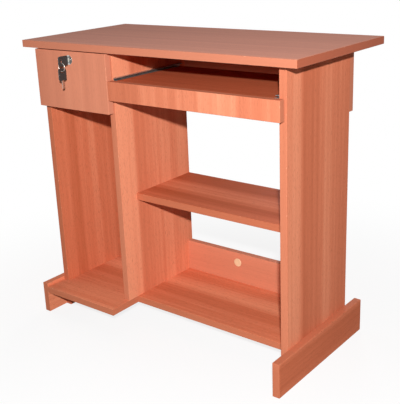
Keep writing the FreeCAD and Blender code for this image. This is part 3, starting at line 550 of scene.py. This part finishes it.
# %% Zinc
ZINC_DARK = (0.30, 0.30, 0.295)
ZINC_LIGHT = (0.52, 0.52, 0.505)
ZINC_ROUGHNESS = 0.34
CLOUDS_PER_METRE = 120.0
SCRATCH_WAVES = (2600.0, 14.0, 2600.0)
SCRATCH_DEPTH = 0.0001
SIDES = ("drawer_left", "drawer_right", "tray_left", "tray_right")


def zinc(name, scratches):
    """Plated zinc, with more or fewer scratches from front to back."""
    finish = Finish(name, Metallic=1.0)
    cloud = finish.place.noise(CLOUDS_PER_METRE, 4.0, 0.6)
    scratch = finish.drawn_out(SCRATCH_WAVES, 2.0, 0.6)
    grey = cloud + (scratch - 0.5) * scratches
    finish.feed("Base Color", grey.ramp((0.25, ZINC_DARK), (0.75, ZINC_LIGHT)))
    finish.feed("Roughness", ZINC_ROUGHNESS + cloud * 0.16 + scratch * scratches * 0.3)
    finish.relief(scratch * scratches + cloud * 0.2, SCRATCH_DEPTH, 0.4)
    return finish


channels = [f"{side}_{kind}_channel" for side in SIDES for kind in ("fixed", "moving")]
zinc("zinc_strip", 0.5).put_on(*channels)
screws = [name for name in nodes if name.endswith("_screws")]
zinc("zinc_screw", 0.1).put_on(*screws)
print("channels:", len(channels), "groups of screws:", len(screws))

# %% [markdown]
# ## Rollers
# Each slide runs on two white nylon rollers. Nylon is a little translucent: light that enters it comes out
# close by. Plain white paint wouldn't show that, so the shader gets some subsurface scattering. The rolling
# tread picks up grey from the zinc, and the flat sides stay clean. The roller turns about the direction of
# x, so a surface that faces along x is a side.

# %% Nylon
NYLON_DULL = (0.76, 0.75, 0.70)
NYLON_WHITE = (0.80, 0.79, 0.74)
ZINC_GREY_DIRT = (0.42, 0.41, 0.38)
NYLON_ROUGHNESS = 0.38
LIGHT_TRAVEL = 0.002
SMEARS_PER_METRE = 600.0
NYLON_SKIN = 0.0001
translucent = {"Subsurface_Weight": 0.15, "Subsurface_Scale": LIGHT_TRAVEL}
nylon = Finish("nylon", IOR=1.5, Specular_IOR_Level=0.4, **translucent)
tread = abs(nylon.facings()["x"]).ease(0.7, 0.2)
smear = nylon.place.noise(SMEARS_PER_METRE, 3.0, 0.6)
clean = smear.ramp((0.2, NYLON_DULL), (0.8, NYLON_WHITE))
nylon.feed("Base Color", clean.blend(ZINC_GREY_DIRT, tread * smear.ease(0.4, 0.7) * 0.6))
nylon.feed("Roughness", NYLON_ROUGHNESS + smear * 0.15)
nylon.relief(smear, NYLON_SKIN, 0.3)
rollers = [f"{side}_{end}_roller" for side in SIDES for end in ("front", "rear")]
nylon.put_on(*rollers)
print("rollers:", len(rollers))

# %% [markdown]
# ## Cap in the lower rail
# A cream plastic cap closes the cable hole of the lower rail. It is moulded with a faint orange-peel skin.
# Dust has settled in the corner where its flange meets the rail. It could be painted round the rim, but the
# distance from the rail's face gives the same ring in one step.

# %% Cream plastic
CREAM_DULL = (0.74, 0.49, 0.29)
CREAM = (0.86, 0.60, 0.37)
DUST_BROWN = (0.33, 0.20, 0.12)
CREAM_ROUGHNESS = 0.36
DUST_WIDTH = 0.0010
STAINS_PER_METRE = 180.0
PEEL_PER_METRE = 1500.0
PEEL_DEPTH = 0.00015
cap = Finish("cream_plastic", IOR=1.49, Specular_IOR_Level=0.4)
yellowing = cap.place.noise(STAINS_PER_METRE, 3.0, 0.55)
cream = yellowing.ramp((0.3, CREAM_DULL), (0.7, CREAM))
rail_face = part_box("lower_back_rail")[0].y
dusty = cap.places["y"].ease(rail_face - DUST_WIDTH, rail_face)
cap.feed("Base Color", cream.blend(DUST_BROWN, dusty * 0.6))
cap.feed("Roughness", CREAM_ROUGHNESS + yellowing * 0.12 + dusty * 0.2)
cap.relief(cap.place.noise(PEEL_PER_METRE, 2.0, 0.5), PEEL_DEPTH, 0.4)
cap.put_on("rail_cap")
print("face of the lower rail at y:", round(rail_face, 3))

# %% [markdown]
# ## Lock
# The lock has a collar and a plug that are plated with nickel. Both were turned, so their faces carry fine
# rings about the lock's own axis. Rings could be cut into the mesh, but they are only half a millimetre
# apart. So the distance from the axis goes through a sine and becomes a shallow bump.

# %% Nickel
NICKEL_DARK = (0.40, 0.385, 0.36)
NICKEL_LIGHT = (0.68, 0.665, 0.63)
NICKEL_ROUGHNESS = 0.18
TARNISH_PER_METRE = 260.0
RING_PITCH = 0.0005
RING_DEPTH = 0.00003
collar_low, collar_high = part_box("lock_collar")
lock_axis = (collar_low + collar_high) / 2
nickel = Finish("turned_nickel", Metallic=1.0)
from_axis = nickel.place.vector(nickel.places["x"] - lock_axis.x, 0.0, nickel.places["z"] - lock_axis.z)
rings = (from_axis.length() * (2 * math.pi / RING_PITCH)).sine() * 0.5 + 0.5
tarnish = nickel.place.noise(TARNISH_PER_METRE, 4.0, 0.6)
nickel.feed("Base Color", tarnish.ramp((0.30, NICKEL_DARK), (0.65, NICKEL_LIGHT)))
nickel.feed("Roughness", NICKEL_ROUGHNESS + tarnish * 0.18)
nickel.relief(rings * 0.6 + tarnish * 0.4, RING_DEPTH, 0.5)
nickel.put_on("lock_collar", "lock_plug")
print("lock axis at x and z:", round(lock_axis.x, 3), round(lock_axis.z, 3))

# %% [markdown]
# ## Lock case
# The case behind the drawer front is cast in zinc, with a dull and grainy skin. The zinc of the slides
# could serve again, but a casting is darker, and it has no scratches from rolling. So it has a finish of
# its own, with fine noise for the grain.

# %% Cast zinc
CAST_DARK = (0.23, 0.23, 0.225)
CAST_LIGHT = (0.36, 0.357, 0.345)
CAST_ROUGHNESS = 0.42
GRAINS_PER_METRE = 900.0
CAST_DEPTH = 0.00012
casting = Finish("cast_zinc", Metallic=1.0)
grain = casting.place.noise(GRAINS_PER_METRE, 4.0, 0.65)
casting.feed("Base Color", grain.ramp((0.25, CAST_DARK), (0.75, CAST_LIGHT)))
casting.feed("Roughness", CAST_ROUGHNESS + grain * 0.2)
casting.relief(grain, CAST_DEPTH, 0.5)
casting.put_on("lock_case")
print("finish of the lock case:", casting.material.name)

# %% [markdown]
# ## Bolt
# The bolt that rises from the case is drawn steel, brighter than the case, with lines along the way that it
# was drawn. They could be modelled, but they are less than half a millimetre wide. So they are noise that
# is drawn out upwards.

# %% Bright steel
STEEL_DARK = (0.42, 0.42, 0.42)
STEEL_LIGHT = (0.62, 0.62, 0.61)
STEEL_ROUGHNESS = 0.24
DRAWN_WAVES = (2400.0, 2400.0, 40.0)
FINE_SCRATCH = 0.00005
bright_steel = Finish("bright_steel", Metallic=1.0)
drawn = bright_steel.drawn_out(DRAWN_WAVES, 3.0, 0.6)
bright_steel.feed("Base Color", drawn.ramp((0.25, STEEL_DARK), (0.75, STEEL_LIGHT)))
bright_steel.feed("Roughness", STEEL_ROUGHNESS + drawn * 0.2)
bright_steel.relief(drawn, FINE_SCRATCH, 0.4)
bright_steel.put_on("lock_bolt")
print("finish of the bolt:", bright_steel.material.name)

# %% [markdown]
# ## Key blades and ring
# A key stands in the lock, and a second one hangs from it on a ring. The blades and the ring are plated
# with nickel, and use has clouded and scratched them. The turned nickel of the lock could serve again, but
# its rings would show. So here the scratches are noise with more waves along one direction.

# %% Blades and ring
KEY_DARK = (0.46, 0.44, 0.40)
KEY_LIGHT = (0.70, 0.68, 0.63)
KEY_ROUGHNESS = 0.20
TOUCHES_PER_METRE = 500.0
SCUFF_WAVES = (3000.0, 700.0, 700.0)
blade = Finish("key_nickel", Metallic=1.0)
handling = blade.place.noise(TOUCHES_PER_METRE, 4.0, 0.65)
scuff = blade.drawn_out(SCUFF_WAVES, 2.0, 0.6)
blade.feed("Base Color", handling.ramp((0.30, KEY_DARK), (0.70, KEY_LIGHT)))
blade.feed("Roughness", KEY_ROUGHNESS + handling * 0.15 + scuff * 0.1)
blade.relief(scuff, FINE_SCRATCH, 0.4)
blade.put_on("key_blade", "spare_key_blade", "key_ring")
print("finish of the blades:", blade.material.name)

# %% [markdown]
# ## Key heads
# The heads are black plastic with a fine spark-eroded skin. Their rims are rubbed smooth and grey by
# fingers, and a hairline runs round the middle, where the two halves of the mould met. The hairline could
# be modelled, but it is only about half a millimetre wide, so a bump is enough. Each head has its own
# material, because the rims and the hairline are measured from its own box.

# %% Black heads
BLACK = (0.010, 0.0095, 0.0095)
RUBBED_GREY = (0.045, 0.043, 0.042)
HEAD_ROUGHNESS = 0.50
PITS_PER_METRE = 2500.0
PATCHES_PER_METRE = 220.0
RIM_FROM = 0.0025
RIM_FULLY = 0.0004
SEAM_FROM = 0.0003
SEAM_FULLY = 0.0001
SKIN_DEPTH = 0.0001
for name in ("key_head", "spare_key_head"):
    low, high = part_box(name)
    head = Finish("black_plastic_" + name, IOR=1.5, Specular_IOR_Level=0.4)
    skin = head.place.noise(PITS_PER_METRE, 2.0, 0.5)
    patch = head.place.noise(PATCHES_PER_METRE, 3.0, 0.6)
    rubbed = corner_distance(head, name).ease(RIM_FROM, RIM_FULLY) * patch.ease(0.35, 0.65)
    seam = abs(head.places["x"] - (low.x + high.x) / 2).ease(SEAM_FROM, SEAM_FULLY)
    black = skin.ramp((0.3, BLACK), (0.8, RUBBED_GREY))
    head.feed("Base Color", black.blend(RUBBED_GREY, rubbed * 0.7))
    head.feed("Roughness", HEAD_ROUGHNESS + skin * 0.12 - rubbed * 0.15)
    head.relief(skin * 0.4 + seam * 0.6, SKIN_DEPTH, 0.5)
    head.put_on(name)
print("pieces left without a finish:", sorted(set(nodes) - finished))

# %% [markdown]
# ## Studio floor
# The desk stands on a photographer's paper roll, white all round, with a soft shadow that ties it to the
# ground. A square plane would do, but a round sheet has no corner that a view could show. It lies a hair
# under the feet, because two faces at one height would flicker.

# %% Floor
FLOOR_RADIUS = 14.0
FLOOR_SIDES = 96
FLOOR_GAP = 0.0005
floor_mesh = bpy.data.meshes.new("studio_floor")
outline = bmesh.new()
bmesh.ops.create_circle(outline, cap_ends=True, segments=FLOOR_SIDES, radius=FLOOR_RADIUS)
outline.to_mesh(floor_mesh)
outline.free()
floor = bpy.data.objects.new("studio_floor", floor_mesh)
floor.location.z = -FLOOR_GAP
scene.collection.objects.link(floor)
print("floor in metres across:", 2 * FLOOR_RADIUS)

# %% [markdown]
# ## Paper
# The whole floor could be lit until it is white, but that light would wash out the desk as well. So the
# paper is partly a plain glow for the eye of the camera and for mirrors, and the rest is ordinary paper
# that takes the shadow. Further away from the desk the glow takes over. For light that bounces, the paper
# is a darker grey, because the dark wedges under the boards in the photograph get little light from below.

# %% White paper that keeps a shadow
DIM_PAPER = (0.34, 0.34, 0.34)
PAPER = (0.92, 0.92, 0.92)
WHITE = (1.0, 1.0, 1.0)
NEAR_GLOW = 0.82
GLOW_RISES_AT = 0.40
GLOW_FULL_AT = 1.2


def seen_by_eye(light_path):
    """1 for rays of the camera, of mirrors and of glass, and 0 for light that bounces."""
    seen = Wire(light_path.outputs["Is Camera Ray"])
    for ray in ("Is Glossy Ray", "Is Transmission Ray"):
        seen = seen.most(Wire(light_path.outputs[ray]))
    return seen


paper = Finish("studio_paper", Roughness=0.9, Specular_IOR_Level=0.1)
paper_tree = paper.material.node_tree
seen = seen_by_eye(paper_tree.nodes.new("ShaderNodeLightPath"))
paper.feed("Base Color", seen.ramp((0.0, DIM_PAPER), (1.0, PAPER)))
share = seen * paper.place.length().ease(GLOW_RISES_AT, GLOW_FULL_AT, NEAR_GLOW, 1.0)
glow = paper.place.node("Emission", {}, {"Color": opaque(WHITE), "Strength": 1.0})
matt = Wire(paper.shader.outputs["BSDF"])
surface = paper.place.node("MixShader", {}, {0: share, 1: matt, 2: glow})
paper_tree.links.new(surface.socket, paper_tree.nodes["Material Output"].inputs["Surface"])
floor_mesh.materials.append(paper.material)
print("share of glow beside the desk:", NEAR_GLOW)

# %% [markdown]
# ## Light from all round
# The room adds a little light from all sides, so that no shadow is quite black. To the camera and to
# mirrors it shows white, which makes the background. White walls could be built round the desk, but they
# would throw light back onto it. One world does both, because Light Path tells the kinds of ray apart.

# %% World
AMBIENT = 0.028
world = bpy.data.worlds.new("studio")
scene.world = world
world.use_nodes = True
sky = world.node_tree.nodes["Background"]
sky.inputs["Color"].default_value = opaque(WHITE)
sky_seen = seen_by_eye(world.node_tree.nodes.new("ShaderNodeLightPath"))
sky_strength = AMBIENT + sky_seen * (1.0 - AMBIENT)
world.node_tree.links.new(sky_strength.socket, sky.inputs["Strength"])
print("light from all round:", AMBIENT)

# %% [markdown]
# ## Lamps
# The photograph was lit by a flash above the camera, which leaves dark wedges under the top, the shelf and
# the fronts. A small lamp stands in for it, a little further off, so that the far end of the desk doesn't
# go dark. A weak wide lamp overhead is the flash's light that a ceiling throws back onto the lying boards.
# From behind and from the left, the desk would still be nearly black. So two large soft panels stand on
# those sides. They are no taller than the desk, because a taller one would mirror itself in the top.

# %% Flash, panels and ceiling
DESK_MIDDLE = Vector((0.0, 0.0, 0.40))
ABOVE_CAMERA = Vector((0.0, 0.0, 0.195))
FURTHER_OFF = 1.15
FLASH_PLACE = DESK_MIDDLE + (CAMERA_PLACE + ABOVE_CAMERA - DESK_MIDDLE) * FURTHER_OFF
# Place, level of white, width and height
LAMPS = {
    "flash": (FLASH_PLACE, 1.28, 0.07, 0.05),
    "panel_behind": (Vector((-0.9, 2.3, 0.40)), 0.5, 0.7, 0.66),
    "panel_on_the_left": (Vector((-2.4, 0.3, 0.40)), 0.5, 1.2, 0.66),
    "ceiling": (Vector((0.0, 0.0, 2.6)), 0.14, 1.6, 1.0),
}


def lamp(name, place, level, width, height):
    """A lamp turned to the middle of the desk, where white paper that faces it gets this level of white."""
    aim = DESK_MIDDLE - place
    light = bpy.data.lights.new(name, "AREA")
    light.shape = "RECTANGLE"
    light.size = width
    light.size_y = height
    light.energy = level * math.pi ** 2 * aim.length ** 2
    made = bpy.data.objects.new(name, light)
    made.location = place
    made.rotation_mode = "QUATERNION"
    made.rotation_quaternion = aim.to_track_quat("-Z", "Y")
    made.visible_camera = False
    scene.collection.objects.link(made)
    print(name, "at a distance of", round(aim.length, 2), "with a power of", round(light.energy, 1))


for name, facts in LAMPS.items():
    lamp(name, *facts)
